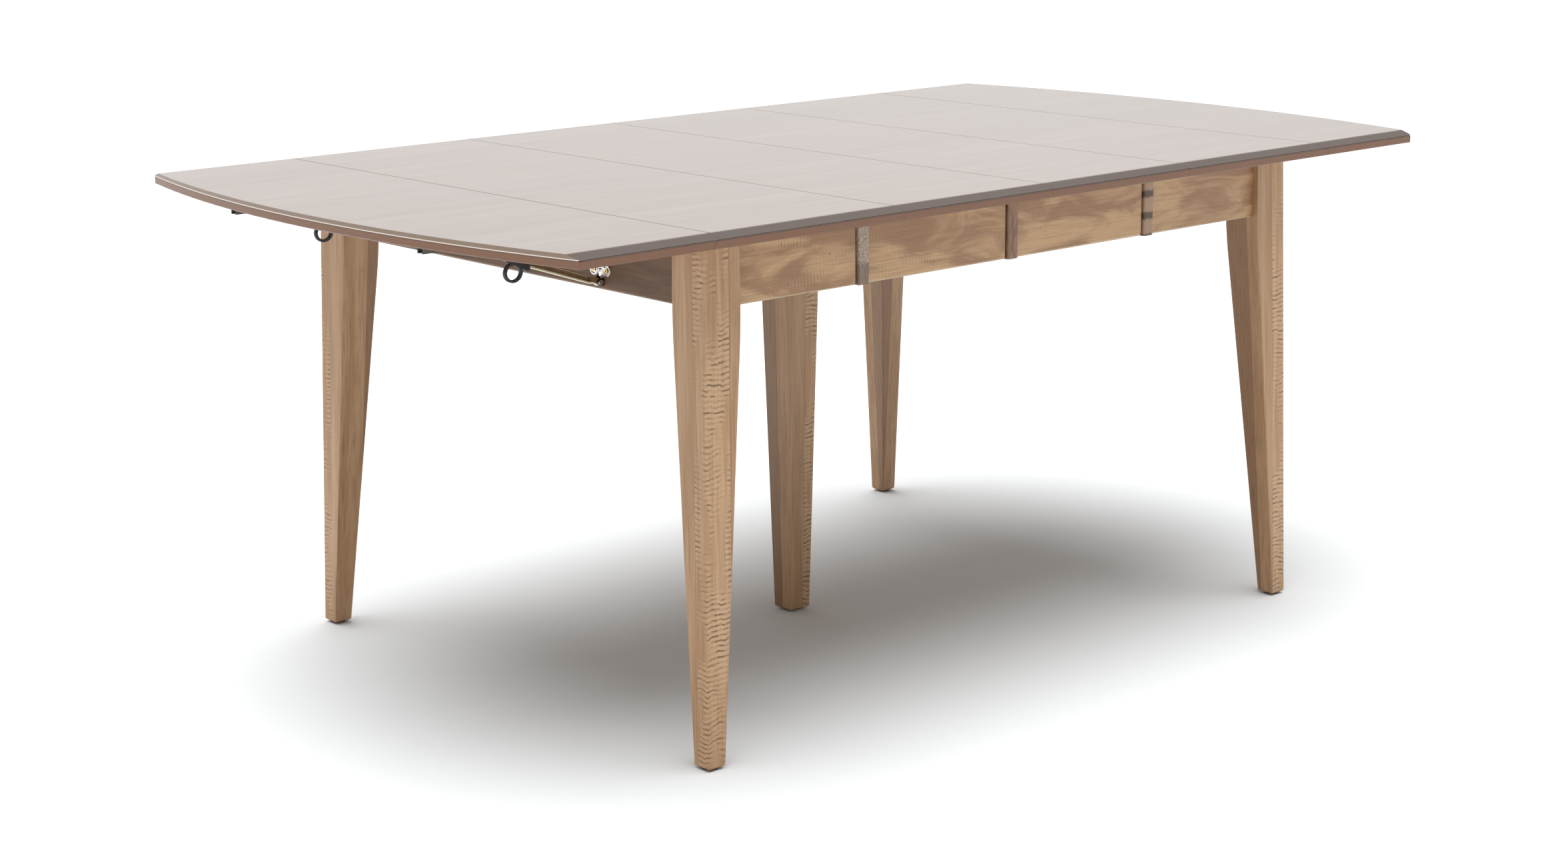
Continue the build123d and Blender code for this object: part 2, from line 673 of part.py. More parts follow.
def half_frame(slide_direction, apron_start):
    """Everything fixed to the +X half except its seam blocks, as node name to list of solids."""
    slab = top_blank & across(rule_face(rule_radius, 0.0, seam_x + seam_gap / 2))
    bars = both(slide_bar(slide_direction))
    screws = slide_screws(slide_direction)
    screws = screws + [front(screw) for screw in screws]
    for y0 in hinge_stations:
        screws += hinge_screws(y0, True)
    plates, pins = [], []
    for y0 in hinge_stations:
        fixed, _, pin = hinge_parts(y0)
        plates.append(cut(fixed, hinge_screws(y0, True)))
        pins.append(pin)
        slab = slab - hinge_recess(y0)
    slab = cut(slab, screws)
    shaft, nut = hanger_bolt()
    leg = cut(corner_leg(), [shaft, side_tenon()] + end_tenons()[:1])
    side = side_apron(apron_start, leg_inner_x) + side_tenon()
    support_ys = (-support_offset, support_offset)
    wood_bracket_screws = [screw for y0 in support_ys for screw in bracket_screws(y0)]
    foot_inset = leg_splay - leg_foot_size / 2
    foot_centre = (leg_face_x + foot_inset, leg_face_y + foot_inset)
    return {
        "top": [slab],
        "front_leg": [front(leg)],
        "back_leg": [leg],
        "end_apron": [cut(end_apron(), wood_bracket_screws)],
        "side_aprons": both(side),
        "slide_bars": [cut(bar, screws) for bar in bars],
        "top_screws": screws,
        "corner_blocks": both(corner_block() - shaft),
        "hanger_bolts": both(shaft) + both(nut),
        "glides": both(glide(*foot_centre)),
        "hinge_plates": plates,
        "hinge_pins": pins,
        "support_brackets": [cut(bracket(y0), bracket_screws(y0)) for y0 in support_ys],
        "bracket_screws": wood_bracket_screws,
        "pivot_pins": [pivot_pin(y0) for y0 in support_ys],
    }


def drop_leaf():
    """The +X drop leaf with its hinge plates, tracks and screws."""
    slab = top_blank & across(rule_face(rule_radius + rule_gap, rule_gap, tip_x + cutter_margin))
    screws, plates, tracks = [], [], []
    for y0 in hinge_stations:
        own = hinge_screws(y0, False)
        plates.append(cut(hinge_parts(y0)[1], own))
        screws += own
    for y0 in (-support_offset, support_offset):
        own = track_screws(y0)
        tracks.append(cut(track(y0), own))
        screws += own
    return {"drop_leaf": [cut(slab, screws)], "leaf_hinge_plates": plates, "support_tracks": tracks,
            "leaf_screws": screws}


def save_group(side, nodes):
    for name, shapes in nodes.items():
        save(f"{side}_{name}", *[mirrored(s) if side == "left" else s for s in shapes])


top_blank = whole_top()
left_apron_start = seam_x + seam_gap / 2 + seam_block_width + seam_block_reveal
save_group("right", half_frame(-1, seam_x + seam_gap / 2))
save_group("left", half_frame(1, left_apron_start))
save("left_seam_blocks", *both(seam_block(-seam_x - seam_gap / 2)))
leaf_nodes = drop_leaf()
for side in ("right", "left"):
    save_group(side, leaf_nodes)
    for place, y0 in (("front", -support_offset), ("back", support_offset)):
        save_group(side, {f"{place}_strut": [strut(y0)], f"{place}_slider": [slider(y0)]})

for number, x0 in ((1, -seam_x), (2, 0.0)):
    first, last = x0 + seam_gap / 2, x0 + seam_x - seam_gap / 2
    panel = top_blank & block(first, last, -half_width, half_width, underside - cutter_margin,
                              table_height + cutter_margin)
    save(f"leaf_{number}_panel", panel)
    save(f"leaf_{number}_aprons", *both(side_apron(first, last - seam_block_width - seam_block_reveal)))
    save(f"leaf_{number}_seam_blocks", *both(seam_block(last)))

shaft, nut = centre_bolt()
save("centre_leg", centre_leg() - shaft)
save("centre_block", cut(centre_block(), centre_screws() + [shaft]))
save("centre_slide_bars", *[cut(bar, centre_screws()) for bar in both(centre_bar())])
save("centre_screws", *centre_screws())
save("centre_bolt", shaft, nut)
save("centre_glide", glide(centre_x, centre_leg_y))
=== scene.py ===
import bmesh
import bpy
import json
import math
from mathutils import Matrix, Vector

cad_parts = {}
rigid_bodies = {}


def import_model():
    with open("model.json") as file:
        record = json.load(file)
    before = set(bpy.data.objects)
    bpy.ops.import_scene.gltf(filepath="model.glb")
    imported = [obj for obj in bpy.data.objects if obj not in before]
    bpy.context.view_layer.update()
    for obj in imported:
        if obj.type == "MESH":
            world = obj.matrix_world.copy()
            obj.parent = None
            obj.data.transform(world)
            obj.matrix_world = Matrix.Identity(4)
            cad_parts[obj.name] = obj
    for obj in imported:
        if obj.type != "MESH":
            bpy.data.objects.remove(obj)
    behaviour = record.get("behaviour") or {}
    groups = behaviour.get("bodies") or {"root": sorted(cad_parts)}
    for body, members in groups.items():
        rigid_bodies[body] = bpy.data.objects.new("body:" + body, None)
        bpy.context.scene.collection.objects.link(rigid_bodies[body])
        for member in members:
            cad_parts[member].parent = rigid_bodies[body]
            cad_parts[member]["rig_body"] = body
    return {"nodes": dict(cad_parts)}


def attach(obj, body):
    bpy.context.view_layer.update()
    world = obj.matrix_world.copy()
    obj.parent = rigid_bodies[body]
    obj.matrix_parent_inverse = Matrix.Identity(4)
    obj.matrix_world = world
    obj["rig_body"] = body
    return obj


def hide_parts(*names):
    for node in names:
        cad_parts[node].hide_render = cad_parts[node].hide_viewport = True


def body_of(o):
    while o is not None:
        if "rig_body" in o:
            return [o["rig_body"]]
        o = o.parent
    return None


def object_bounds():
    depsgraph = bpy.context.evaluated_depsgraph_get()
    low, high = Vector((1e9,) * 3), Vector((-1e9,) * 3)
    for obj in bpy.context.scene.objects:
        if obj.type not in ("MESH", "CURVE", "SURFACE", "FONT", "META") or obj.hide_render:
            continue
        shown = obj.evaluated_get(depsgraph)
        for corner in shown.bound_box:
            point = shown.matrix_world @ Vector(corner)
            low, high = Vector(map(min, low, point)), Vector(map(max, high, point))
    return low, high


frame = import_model()
cadBox = [list(corner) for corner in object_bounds()]
topHeight = cadBox[1][2]
print("frame loaded", len(frame["nodes"]), "nodes")


class Signal:
    # a number that a node puts out; maths on it adds Math nodes to the same tree
    def __init__(self, nodes, socket):
        self.nodes, self.socket = nodes, socket

    def __add__(self, other):
        return self.nodes.maths("ADD", self, other)

    def __radd__(self, other):
        return self.nodes.maths("ADD", other, self)

    def __sub__(self, other):
        return self.nodes.maths("SUBTRACT", self, other)

    def __rsub__(self, other):
        return self.nodes.maths("SUBTRACT", other, self)

    def __mul__(self, other):
        return self.nodes.maths("MULTIPLY", self, other)

    def __rmul__(self, other):
        return self.nodes.maths("MULTIPLY", other, self)

    def __truediv__(self, other):
        return self.nodes.maths("DIVIDE", self, other)

    def __rtruediv__(self, other):
        return self.nodes.maths("DIVIDE", other, self)

    def __gt__(self, other):
        return self.nodes.maths("GREATER_THAN", self, other)

    def __lt__(self, other):
        return self.nodes.maths("LESS_THAN", self, other)

    def __abs__(self):
        return self.nodes.maths("ABSOLUTE", self)


class Nodes:
    # a node tree; each of its nodes is made by one method, from values and links
    def __init__(self, tree):
        self.tree = tree

    def node(self, kind, settings=None, inputs=None):
        made = self.tree.nodes.new(kind)
        for name, value in (settings or {}).items():
            setattr(made, name, value)
        for name, value in (inputs or {}).items():
            for one in value if isinstance(value, list) else [value]:
                self.feed(made.inputs[name], one)
        return made

    def feed(self, socket, value):
        if isinstance(value, Signal):
            value = value.socket
        if isinstance(value, bpy.types.NodeSocket):
            self.tree.links.new(value, socket)
        else:
            socket.default_value = value

    def maths(self, operation, *values):
        made = self.node("ShaderNodeMath", {"operation": operation}, dict(enumerate(values)))
        return Signal(self, made.outputs[0])

    def vector(self, x, y, z):
        return self.node("ShaderNodeCombineXYZ", inputs={"X": x, "Y": y, "Z": z}).outputs[0]


class Finish(Nodes):
    # one material and its shader
    def __init__(self, name, shader):
        self.material = bpy.data.materials.new(name)
        self.material.use_nodes = True
        super().__init__(self.material.node_tree)
        self.tree.nodes.clear()
        self.shader = self.node("ShaderNodeBsdfPrincipled", inputs=shader)
        self.node("ShaderNodeOutputMaterial", inputs={"Surface": self.shader.outputs[0]})

    def lay(self, inputs):
        for name, value in inputs.items():
            self.feed(self.shader.inputs[name], value)

    def within(self, value, low, high):
        # 0 at low, 1 at high, smooth between; low may be the larger of the two
        made = self.node("ShaderNodeMapRange", {"interpolation_type": "SMOOTHSTEP"},
                         {"Value": value, "From Min": low, "From Max": high})
        return Signal(self, made.outputs["Result"])

    def coordinates(self, output):
        return self.node("ShaderNodeTexCoord").outputs[output]

    def axes(self, output):
        # x, y and z of where a point is (Object) or of the way it faces (Normal)
        parts = self.node("ShaderNodeSeparateXYZ", inputs={"Vector": self.coordinates(output)})
        return {axis: Signal(self, parts.outputs[axis.upper()]) for axis in "xyz"}

    def noise(self, vector, scale=1.0, detail=2.0, roughness=0.5, distortion=0.0):
        made = self.node("ShaderNodeTexNoise", inputs={
            "Vector": vector, "Scale": scale, "Detail": detail, "Roughness": roughness,
            "Distortion": distortion})
        return Signal(self, made.outputs["Fac"])

    def colours(self, factor, first, second):
        ends = (c if isinstance(c, bpy.types.NodeSocket) else (*c, 1) for c in (first, second))
        made = self.node("ShaderNodeMix", {"data_type": "RGBA"}, {0: factor, **dict(zip((6, 7), ends))})
        return made.outputs[2]

    def bump(self, height, strength, distance):
        made = self.node("ShaderNodeBump", inputs={
            "Height": height, "Strength": strength, "Distance": distance})
        self.feed(self.shader.inputs["Normal"], made.outputs[0])


# Maple: glued boards with long grain; along, across and deep name the axes of a piece's boards
def boardScheme(finish, place, look):
    along, across, deep = (place[look[key]] for key in ("along", "across", "deep"))
    boards = across / look["boardWidth"] + look["seed"]
    inBoard = finish.maths("FRACT", boards)
    toEdge = finish.maths("MINIMUM", inBoard, 1.0 - inBoard) * look["boardWidth"]
    tone = finish.node("ShaderNodeTexWhiteNoise", {"noise_dimensions": "1D"},
                       {"W": finish.maths("FLOOR", boards)})
    return along, across, deep, Signal(finish, tone.outputs["Value"]), toEdge


# A leg is glued from four staves that follow its leaning outer corner; only the lighter ones are curly
def staveScheme(finish, place, look):
    z = place["z"]
    x, y = place["x"] - look["middle"][0], place["y"] - look["middle"][1]
    u, v = abs(x) + z * look["lean"], abs(y) + z * look["lean"]
    insideX, insideY, rightStep, backStep = look["toneSteps"]
    tone = (x > 0.0) * rightStep + (y > 0.0) * backStep + look["firstTone"]
    startX, startY = look["starts"]
    toEdge = 1.0
    for side, step, start in ((u, insideX, (x > 0.0) * look["farShift"] + startX), (v, insideY, startY)):
        tone = tone + (side < start) * step
        toEdge = finish.maths("MINIMUM", toEdge, abs(side - start))
    return z, u, v, finish.maths("FRACT", tone), toEdge


# Scales are cycles in a metre, along and across the grain; ranges are where a noise starts and is full
grainLook = {
    "boardShift": 7.3, "toneRange": (0.35, 1.0),
    "fineScales": (8.0, 330.0), "fineRange": (0.42, 0.75),
    "poreScales": (60.0, 900.0), "poreRange": (0.62, 0.78), "pores": 0.3,
    "knots": 0.85, "knotCore": 0.3,
    "driftScales": (16.0, 40.0), "curlShift": 5.0, "breakAlong": 210.0, "breakRange": (0.40, 0.62),
    "patchAlong": 11.0, "patchAcross": 34.0, "patchShift": 9.0, "patchBlur": 0.16,
    "dashRange": (0.15, 0.95), "glowRange": (0.2, -0.7), "curlPale": 0.35, "curlGlow": 0.3,
    "fineRoughness": 0.14, "wideRoughness": 0.10, "reliefDepth": 0.0005,
}


def grainNoise(finish, grain, scales, detail=2.0, roughness=0.5, distortion=0.0):
    along, across, deep = grain
    length, width = scales
    vector = finish.vector(along * length, across * width, deep * width)
    return finish.noise(vector, 1.0, detail, roughness, distortion)


def curlFigure(finish, grain, tone, look):
    # thin dark dashes across the grain, in patches, on some boards only, with paler wood between
    along, across, deep = grain
    drift = grainNoise(finish, grain, grainLook["driftScales"])
    cycles = along / look["curlPitch"] + drift * look["curlDrift"] + tone * grainLook["curlShift"]
    ripple = finish.maths("SINE", cycles * math.tau)
    broken = grainNoise(finish, grain, (grainLook["breakAlong"], look["curlReach"]), 2.0, 0.6)
    wide = grainLook["patchAcross"]
    patch = finish.noise(finish.vector(along * grainLook["patchAlong"] + tone * grainLook["patchShift"],
                                       across * wide, deep * wide))
    there = (finish.within(patch, look["curlFrom"], look["curlFrom"] + grainLook["patchBlur"])
             * finish.within(tone, *look["curlBoards"]))
    dashes = finish.within(ripple, *grainLook["dashRange"]) * finish.within(broken, *grainLook["breakRange"])
    return dashes * there, finish.within(ripple, *grainLook["glowRange"]) * there, there


def pinKnots(finish, grain, look):
    along, across, deep = grain
    cells = finish.node("ShaderNodeTexVoronoi", {"voronoi_dimensions": "2D"}, {
        "Vector": finish.vector(along, across + deep * 0.3, 0.0), "Scale": look["knotScale"]})
    dot = finish.within(Signal(finish, cells.outputs["Distance"]), look["knotSize"],
                        look["knotSize"] * grainLook["knotCore"])
    parts = finish.node("ShaderNodeSeparateXYZ", inputs={"Vector": cells.outputs["Color"]})
    return dot * (Signal(finish, parts.outputs["X"]) > look["knotRarity"])


def lineAt(finish, z, height, edge):
    reach, core = edge["lineReach"], edge["lineCore"]
    return finish.within(z, height - reach, height - core) * finish.within(z, height + reach, height + core)


def edgeStainsAndPaintedLight(finish, place, colour, coat, edge):
    # the bevel painted dark as shade, the redder edge below it, the bevel painted paler on the table's ends
    # as painted light, a fine dark line of painted shade in the groove, a fine painted highlight along the
    # arris, and the seams darkened by dirt and by painted shade in their gaps
    z, facing = place["z"], finish.axes("Normal")
    bevel = finish.within(z, edge["height"], edge["height"] - edge["drop"])
    side = finish.within(z, edge["arris"] - 0.0006, edge["arris"] - 0.0016)
    gap = 1.0
    for seam in edge["seams"]:
        gap = finish.maths("MINIMUM", gap, abs(abs(place["x"]) - seam))
    masks = {
        "bevelTint": bevel,
        "sideTint": side,
        # faces that turn towards the table's ends get a paler bevel, as painted light
        "endTint": finish.within(abs(facing["x"]) - abs(facing["y"]), 0.0, 0.05) * bevel * (1.0 - side),
        "grooveTint": lineAt(finish, z, edge["arris"] - 0.0019, edge),
        "wornTint": lineAt(finish, z, edge["arris"] - 0.0001, edge),
        "belowTint": finish.within(z, edge["under"], edge["under"] - 0.0004),
        "seamTint": finish.within(gap, edge["seamWidth"], edge["seamWidth"] * 0.4) * (z > edge["arris"]),
    }
    for key, mask in masks.items():
        share, tint = edge[key]
        colour = finish.colours(mask * share, colour, tint)
    coat = coat - bevel * (coat - edge["coat"])
    return colour, coat * (1.0 - masks["seamTint"])


def mapleFinish(name, look):
    finish = Finish(name, {"Coat Roughness": look["coatRoughness"], "Coat IOR": look["coatIor"], "IOR": 1.45})
    place = finish.axes("Object")
    scheme = staveScheme if "lean" in look else boardScheme
    along, across, deep, tone, toEdge = scheme(finish, place, look)
    glueLine = 1.0 - finish.within(toEdge, 0.0, look["glueLine"])
    grain = (along + tone * grainLook["boardShift"], across, deep)
    wide = grainNoise(finish, grain, (look["wideLength"], look["wideWidth"]), 4.0, 0.55, 0.8)
    fine = grainNoise(finish, grain, grainLook["fineScales"], 3.0, 0.6)
    pores = grainNoise(finish, grain, grainLook["poreScales"], 1.0)
    dashes, glow, curly = curlFigure(finish, (along, across, deep), tone, look)
    layers = (
        (finish.within(tone, *grainLook["toneRange"]) * look["boardTone"], "deepTone"),
        (finish.within(fine, *grainLook["fineRange"]) * look["fineGrain"], "dark"),
        (finish.within(pores, *grainLook["poreRange"]) * grainLook["pores"], "dark"),
        (curly * look["curl"] * grainLook["curlPale"], "light"),
        (glow * look["curl"] * grainLook["curlGlow"], "glow"),
        (dashes * look["curl"], "dark"),
        (pinKnots(finish, (along, across, deep), look) * grainLook["knots"], "knot"),
        (glueLine * look["glue"], "dark"),
    )
    colour = finish.colours(finish.within(wide, *look["wideRange"]), look["light"], look["warm"])
    for share, tint in layers:
        colour = finish.colours(share, colour, look[tint])
    coat = look["coat"]
    if "edge" in look:
        colour, coat = edgeStainsAndPaintedLight(finish, place, colour, coat, look["edge"])
    # a pale line along the eased lower arris, painted as a highlight
    if "eased" in look:
        start, share, tint = look["eased"]
        colour = finish.colours(finish.within(place["z"], start, start - 0.0008) * share, colour, tint)
    rough = (look["roughness"] + (fine - 0.5) * grainLook["fineRoughness"]
             + (wide - 0.5) * grainLook["wideRoughness"])
    finish.lay({"Base Color": colour, "Coat Weight": coat, "Roughness": rough})
    height = fine * 0.5 - dashes * 0.4 - glueLine * 1.2 + wide * 0.4
    finish.bump(height, look["relief"], grainLook["reliefDepth"])
    return finish.material


topLook = {
    "along": "x", "across": "y", "deep": "z", "seed": 3.0, "boardWidth": 0.102, "boardTone": 0.5,
    "glueLine": 0.0008, "glue": 0.35, "wideLength": 1.8, "wideWidth": 15.0, "wideRange": (0.32, 0.68),
    "curlPitch": 0.011, "curlDrift": 2.0, "curlReach": 60.0, "curl": 0.35, "curlFrom": 0.46,
    "curlBoards": (0.35, 0.5), "fineGrain": 0.30, "knotScale": 5.0, "knotSize": 0.012, "knotRarity": 0.8,
    "light": (0.21, 0.155, 0.122), "warm": (0.19, 0.135, 0.102), "deepTone": (0.17, 0.118, 0.088),
    "dark": (0.14, 0.09, 0.062), "glow": (0.26, 0.20, 0.16), "knot": (0.09, 0.05, 0.03),
    "roughness": 0.38, "coat": 1.0, "coatRoughness": 0.10, "coatIor": 1.5, "relief": 0.10,
    # heights come down from the top; each tint is a share and a colour
    "edge": {
        "height": topHeight - 0.0001, "drop": 0.0008, "arris": topHeight - 0.0064,
        "under": topHeight - 0.0187, "lineReach": 0.0009, "lineCore": 0.0004,
        "seams": (0.0, 0.3048, 0.64105), "seamWidth": 0.0016, "coat": 0.0,
        # the bevel is painted dark as shade and paler on the ends as painted light; the groove line is
        # painted shade, the arris line is a painted highlight, and the seam lines are dirt with painted shade
        # in the gaps
        "bevelTint": (0.95, (0.045, 0.028, 0.021)), "sideTint": (0.9, (0.19, 0.088, 0.045)),
        "endTint": (0.85, (0.25, 0.175, 0.12)), "grooveTint": (0.45, (0.05, 0.03, 0.02)),
        "wornTint": (0.8, (0.80, 0.70, 0.64)), "belowTint": (0.7, (0.30, 0.19, 0.11)),
        "seamTint": (0.85, (0.07, 0.045, 0.03)),
    },
}
paleMaple = {
    "glueLine": 0.0007, "curlDrift": 2.2, "curlReach": 55.0,
    "deepTone": (0.26, 0.140, 0.070), "dark": (0.15, 0.075, 0.035), "glow": (0.62, 0.43, 0.27),
    "knot": (0.10, 0.05, 0.02), "roughness": 0.45, "coat": 0.12, "coatRoughness": 0.25,
    "coatIor": 1.45, "relief": 0.18,
}
legLook = {
    **paleMaple, "lean": 0.0243, "middle": (0.0, 0.0), "starts": (0.5908, 0.4640),
    "toneSteps": (0.45, 0.35, 0.05, -0.05), "firstTone": 0.10, "farShift": 0.0150,
    "boardTone": 0.9, "glue": 0.5, "wideLength": 3.0, "wideWidth": 40.0, "wideRange": (0.38, 0.62),
    "curlPitch": 0.0075, "curl": 0.95, "curlFrom": 0.38, "curlBoards": (0.36, 0.26),
    "fineGrain": 0.45, "knotScale": 7.0, "knotSize": 0.010, "knotRarity": 0.75,
    "light": (0.50, 0.310, 0.165), "warm": (0.42, 0.238, 0.115),
}
# The centre leg is upright; its folds lie to one side of it, so that its staves meet at its own centre
centreLegLook = {
    **legLook, "lean": 0.0, "middle": (-0.128, 0.115), "starts": (0.105, 0.100), "firstTone": 0.08,
    "farShift": 0.0,
}
# The painted highlight along an apron's eased lower arris is a height, a share and a colour
sideApronLook = {
    **paleMaple, "along": "x", "across": "z", "deep": "y", "seed": 5.0, "boardWidth": 0.2,
    "boardTone": 0.0, "glue": 0.0, "wideLength": 7.0, "wideWidth": 22.0, "wideRange": (0.40, 0.62),
    "curlPitch": 0.006, "curl": 0.28, "curlFrom": 0.54, "curlBoards": (-1.0, -0.5),
    "fineGrain": 0.35, "knotScale": 11.0, "knotSize": 0.020, "knotRarity": 0.6,
    "light": (0.51, 0.315, 0.16), "warm": (0.31, 0.165, 0.078),
    "eased": (0.6475, 0.8, (0.50, 0.38, 0.28)),
}
# The end apron is painted much darker than the side aprons, as painted shade under the drop leaf that
# overhangs it
shadedEndApronLook = {
    **sideApronLook, "along": "y", "deep": "x", "seed": 8.0, "curl": 0.1, "coat": 0.04,
    "roughness": 0.6, "light": (0.155, 0.083, 0.045), "warm": (0.105, 0.055, 0.03),
    "dark": (0.07, 0.04, 0.025), "eased": (0.6475, 0.8, (0.34, 0.25, 0.19)),
}
innerLook = {
    **sideApronLook, "seed": 2.0, "curl": 0.1, "coat": 0.0, "roughness": 0.6,
    "light": (0.52, 0.37, 0.22), "warm": (0.46, 0.31, 0.18),
}
mapleLooks = {
    "topMaple": topLook, "legMaple": legLook, "centreLegMaple": centreLegLook,
    "sideApronMaple": sideApronLook, "endApronMaple": shadedEndApronLook, "innerMaple": innerLook,
}
materials = {name: mapleFinish(name, look) for name, look in mapleLooks.items()}
print("maple finishes made")


# Seam blocks: weathered end grain at the first seam, plain at the middle one, dark notches at the last
endGrainLook = {
    "pale": (0.42, 0.33, 0.25), "speck": (0.20, 0.13, 0.085), "speckle": 420.0,
    "smooth": (0.24, 0.165, 0.115), "smoothDark": (0.15, 0.10, 0.07), "smoothFrom": 0.676, "blur": 0.004,
    "plain": (0.27, 0.150, 0.085), "plainDark": (0.16, 0.080, 0.042), "firstSeam": -0.2,
    "between": (0.37, 0.24, 0.15), "notch": (0.05, 0.028, 0.016), "notchPitch": 0.034,
    "notchPhase": 0.1, "notchShare": 0.8, "lastSeam": 0.2,
}


def endGrainFinish(name, look):
    finish = Finish(name, {"Coat Weight": 0.1, "Coat Roughness": 0.3, "Roughness": 0.5})
    place = finish.axes("Object")
    x, y, z = (place[axis] for axis in "xyz")
    spots = finish.noise(finish.vector(x, y, z), look["speckle"], 3.0, 0.7)
    streaks = finish.noise(finish.vector(x * 260.0, y * 260.0, z * 45.0), 1.0, 3.0, 0.6, 0.4)
    weathered = finish.colours(finish.within(spots, 0.42, 0.62), look["pale"], look["speck"])
    lower = finish.within(z, look["smoothFrom"] + look["blur"], look["smoothFrom"] - look["blur"])
    smooth = finish.colours(finish.within(streaks, 0.4, 0.7), look["smooth"], look["smoothDark"])
    plain = finish.colours(finish.within(streaks, 0.35, 0.7), look["plain"], look["plainDark"])
    teeth = finish.maths("SINE", (z / look["notchPitch"] + spots * 0.5 + look["notchPhase"]) * math.tau)
    notched = finish.colours(finish.within(teeth, 0.35, 0.7), look["between"], look["notch"])
    colour = finish.colours(lower, weathered, smooth)
    colour = finish.colours(x > look["firstSeam"], colour, plain)
    colour = finish.colours((x > look["lastSeam"]) * look["notchShare"], colour, notched)
    finish.lay({"Base Color": colour})
    finish.bump(spots + streaks, 0.3, 0.0006)
    return finish.material


materials["endGrain"] = endGrainFinish("endGrain", endGrainLook)


# Metals, the bracket's nickel darkened from a height down, and plastics
def mottled(finish, cloud, colour, other):
    return finish.colours(finish.within(cloud, 0.35, 0.7), colour, other)


def metalFinish(name, look):
    finish = Finish(name, {"Metallic": look["metallic"]})
    spot = finish.coordinates("Object")
    cloud, grain = finish.noise(spot, 160.0, 3.0), finish.noise(spot, 2600.0)
    finish.lay({"Base Color": mottled(finish, cloud, look["colour"], look["tarnish"]),
                "Roughness": look["roughness"] + (cloud - 0.5) * 0.25})
    finish.bump(grain, look["relief"], 0.0001)
    return finish.material


metalLooks = {
    "brightNickel": {"colour": (0.86, 0.85, 0.83), "tarnish": (0.72, 0.70, 0.66), "roughness": 0.18,
                     "relief": 0.03, "metallic": 1.0},
    "brassScrew": {"colour": (0.78, 0.62, 0.30), "tarnish": (0.62, 0.48, 0.22), "roughness": 0.28,
                   "relief": 0.05, "metallic": 1.0},
    "zincSteel": {"colour": (0.62, 0.62, 0.63), "tarnish": (0.48, 0.48, 0.5), "roughness": 0.35,
                  "relief": 0.08, "metallic": 1.0},
    # the tracks are painted dark as the shade under the leaves
    "darkTrack": {"colour": (0.10, 0.085, 0.075), "tarnish": (0.07, 0.06, 0.05), "roughness": 0.4,
                  "relief": 0.05, "metallic": 0.6},
}
materials.update({name: metalFinish(name, look) for name, look in metalLooks.items()})

bracketLook = {"bright": (0.86, 0.85, 0.83), "tarnish": (0.72, 0.70, 0.66), "dark": (0.045, 0.032, 0.022),
               "darkBelow": 0.6645, "blur": 0.002, "roughness": 0.18}


def bracketFinish(name, look):
    finish = Finish(name, {"Metallic": 1.0})
    cloud = finish.noise(finish.coordinates("Object"), 160.0, 3.0)
    low = finish.within(finish.axes("Object")["z"], look["darkBelow"], look["darkBelow"] - look["blur"])
    bright = mottled(finish, cloud, look["bright"], look["tarnish"])
    finish.lay({"Base Color": finish.colours(low, bright, look["dark"]),
                "Roughness": look["roughness"] + (cloud - 0.5) * 0.2 + low * 0.15})
    finish.bump(cloud, 0.03, 0.0001)
    return finish.material


# The strut is painted brown over its web as shade and bright cream on its lower lip as a painted highlight;
# its line runs between its two pivots
strutLook = {
    "pivot": (0.6151, 0.657), "run": 0.1552, "rise": 0.0530, "lipTop": -0.0022, "blur": 0.0004,
    "litLip": (0.95, 0.90, 0.72), "lipShade": (0.88, 0.82, 0.62), "shadedWeb": (0.20, 0.115, 0.055),
    "webShade": (0.15, 0.085, 0.04), "roughness": 0.34,
}


def strutFinish(name, look):
    finish = Finish(name, {"Metallic": 0.15})
    place, facing = finish.axes("Object"), finish.axes("Normal")
    cloud = finish.noise(finish.coordinates("Object"), 130.0, 3.0)
    slope = math.atan2(look["rise"], look["run"])
    overLine = ((place["z"] - look["pivot"][1]) * math.cos(slope)
                - (abs(place["x"]) - look["pivot"][0]) * math.sin(slope))
    litLip = finish.within(overLine, look["lipTop"], look["lipTop"] - look["blur"])
    # faces turned downwards are painted cream too, as painted light
    litLip = finish.maths("MAXIMUM", litLip, finish.within(facing["z"], -0.5, -0.8))
    litCream = mottled(finish, cloud, look["litLip"], look["lipShade"])
    shadedBrown = mottled(finish, cloud, look["shadedWeb"], look["webShade"])
    finish.lay({"Base Color": finish.colours(litLip, shadedBrown, litCream),
                "Roughness": look["roughness"] + (cloud - 0.5) * 0.25})
    finish.bump(cloud, 0.05, 0.0002)
    return finish.material


plasticLooks = {
    "blackPlastic": {"colour": (0.012, 0.012, 0.013), "worn": (0.022, 0.022, 0.024), "roughness": 0.45,
                     "relief": 0.3},
    "darkNylon": {"colour": (0.10, 0.075, 0.06), "worn": (0.13, 0.10, 0.08), "roughness": 0.5,
                  "relief": 0.2},
}


def plasticFinish(name, look):
    finish = Finish(name, {})
    spot = finish.coordinates("Object")
    grain, cloud = finish.noise(spot, 1800.0, 3.0, 0.6), finish.noise(spot, 60.0)
    finish.lay({"Base Color": finish.colours(finish.within(cloud, 0.4, 0.8), look["colour"], look["worn"]),
                "Roughness": look["roughness"] + (grain - 0.5) * 0.2})
    finish.bump(grain, look["relief"], 0.0002)
    return finish.material


materials["bracketNickel"] = bracketFinish("bracketNickel", bracketLook)
materials["creamStrut"] = strutFinish("creamStrut", strutLook)
materials.update({name: plasticFinish(name, look) for name, look in plasticLooks.items()})

